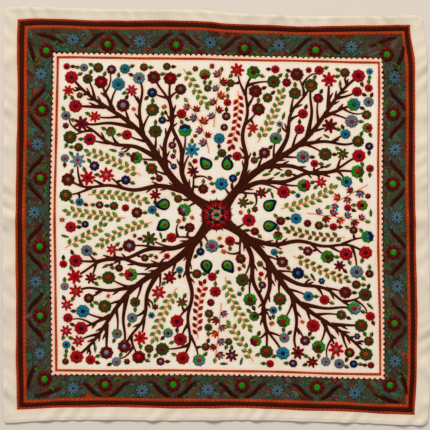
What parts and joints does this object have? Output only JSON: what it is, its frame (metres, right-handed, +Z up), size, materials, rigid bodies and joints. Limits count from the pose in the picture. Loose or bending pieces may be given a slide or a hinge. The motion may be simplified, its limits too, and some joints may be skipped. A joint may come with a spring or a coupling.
{
  "type": "wrapping cloth",
  "caption": "Square cotton wrapping cloth with turned hems, an embroidered floral border and a flowering tree, spread out flat with soft puckers along its edges.",
  "frame": {"origin": "middle of the laid-out cloth's outline, on the surface that it lies on", "axes": "+Z up, away from the surface; +X to the cloth's right and +Y to its top edge, as in the picture"},
  "size_m": [0.9098, 0.8912, 0.0063],
  "materials": {
    "cotton": "unbleached plain-weave cotton, matt",
    "thread_brown": "chain-stitched cotton thread, dark brown",
    "thread_red": "chain-stitched cotton thread, crimson and orange-red",
    "thread_green": "chain-stitched cotton thread, leaf green",
    "thread_blue": "chain-stitched cotton thread, teal blue",
    "thread_border": "close rows of teal, green and rust stitches"
  },
  "bodies": {
    "root": {"cloth": "cotton"}
  },
  "joints": []
}
